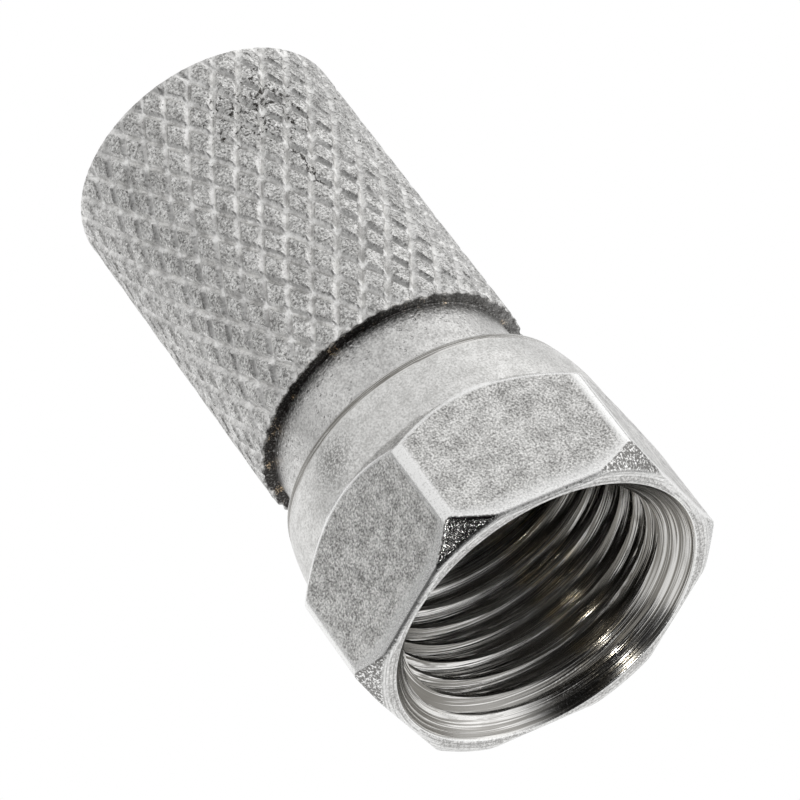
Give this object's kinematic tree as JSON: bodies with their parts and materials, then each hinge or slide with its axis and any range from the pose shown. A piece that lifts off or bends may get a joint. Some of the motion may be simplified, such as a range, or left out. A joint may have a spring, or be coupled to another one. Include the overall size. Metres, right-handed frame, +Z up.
{
  "type": "f connector",
  "caption": "Twist-on coaxial F connector: a knurled cable sleeve with a swivelling hexagonal coupling nut.",
  "frame": {"origin": "centre of the cable bore's mouth, on the axis at the sleeve's back end", "axes": "+X along the axis to the nut's open mouth, +Z up, with a flat of the nut facing down"},
  "size_m": [0.0221, 0.0126, 0.011],
  "materials": {
    "body": "satin nickel plate, grainy on the knurl",
    "nut": "satin nickel plate"
  },
  "bodies": {
    "body": {"body": "body"},
    "coupling_nut": {"coupling_nut": "nut"}
  },
  "joints": [
    {"name": "nut_spin", "type": "hinge", "parent": "body", "child": "coupling_nut", "pos_m": [0.01517, 0, 0], "axis": [1, 0, 0], "continuous": true}
  ]
}
